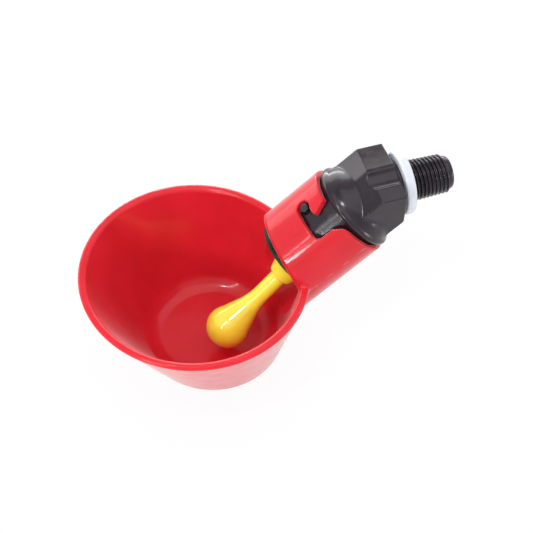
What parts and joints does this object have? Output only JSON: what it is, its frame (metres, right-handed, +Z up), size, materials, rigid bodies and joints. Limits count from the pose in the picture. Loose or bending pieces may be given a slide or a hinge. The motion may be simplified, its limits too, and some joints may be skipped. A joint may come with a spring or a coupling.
{
  "type": "poultry drinking cup",
  "caption": "Round drinking cup for poultry that hangs by a slanting bayonet socket from a black elbow valve with a peck trigger and a threaded inlet.",
  "frame": {"origin": "on the axis of the inlet thread, at the outer face of the sealing washer, where the cup meets the water line's fitting", "axes": "+X out along the inlet thread, away from the cup; +Z up, square to the level rim of the cup; the trigger leans to -Y"},
  "size_m": [0.1252, 0.076, 0.0704],
  "materials": {
    "cup": "glossy moulded red",
    "valve_body": "semi-matt moulded black",
    "sealing_washer": "milky, slightly translucent",
    "seat_ring": "moulded black",
    "seat_retainer": "moulded dark green",
    "valve_spring": "drawn stainless wire",
    "inlet_strainer": "moulded white",
    "trigger": "glossy moulded yellow"
  },
  "bodies": {
    "valve": {"valve_body": "valve_body", "sealing_washer": "sealing_washer", "seat_ring": "seat_ring", "seat_retainer": "seat_retainer", "inlet_strainer": "inlet_strainer"},
    "spring": {"valve_spring": "valve_spring"},
    "trigger": {"trigger": "trigger"},
    "cup": {"cup": "cup"}
  },
  "joints": [
    {"name": "trigger_pitch", "type": "hinge", "parent": "valve", "child": "spring", "pos_m": [-0.02409, 0, -0.01235], "axis": [0, 1, 0], "range_deg": [-2, 5], "stiffness_Nm_per_rad": 0.07},
    {"name": "trigger_sway", "type": "hinge", "parent": "spring", "child": "trigger", "pos_m": [-0.02409, 0, -0.01235], "axis": [0.6691, 0, -0.7431], "range_deg": [-1, 18], "stiffness_Nm_per_rad": 0.07},
    {"name": "cup_twist", "type": "hinge", "parent": "valve", "child": "cup", "pos_m": [-0.03353, 0, -0.02085], "axis": [-0.7431, 0, -0.6691], "range_deg": [0, 31]}
  ]
}
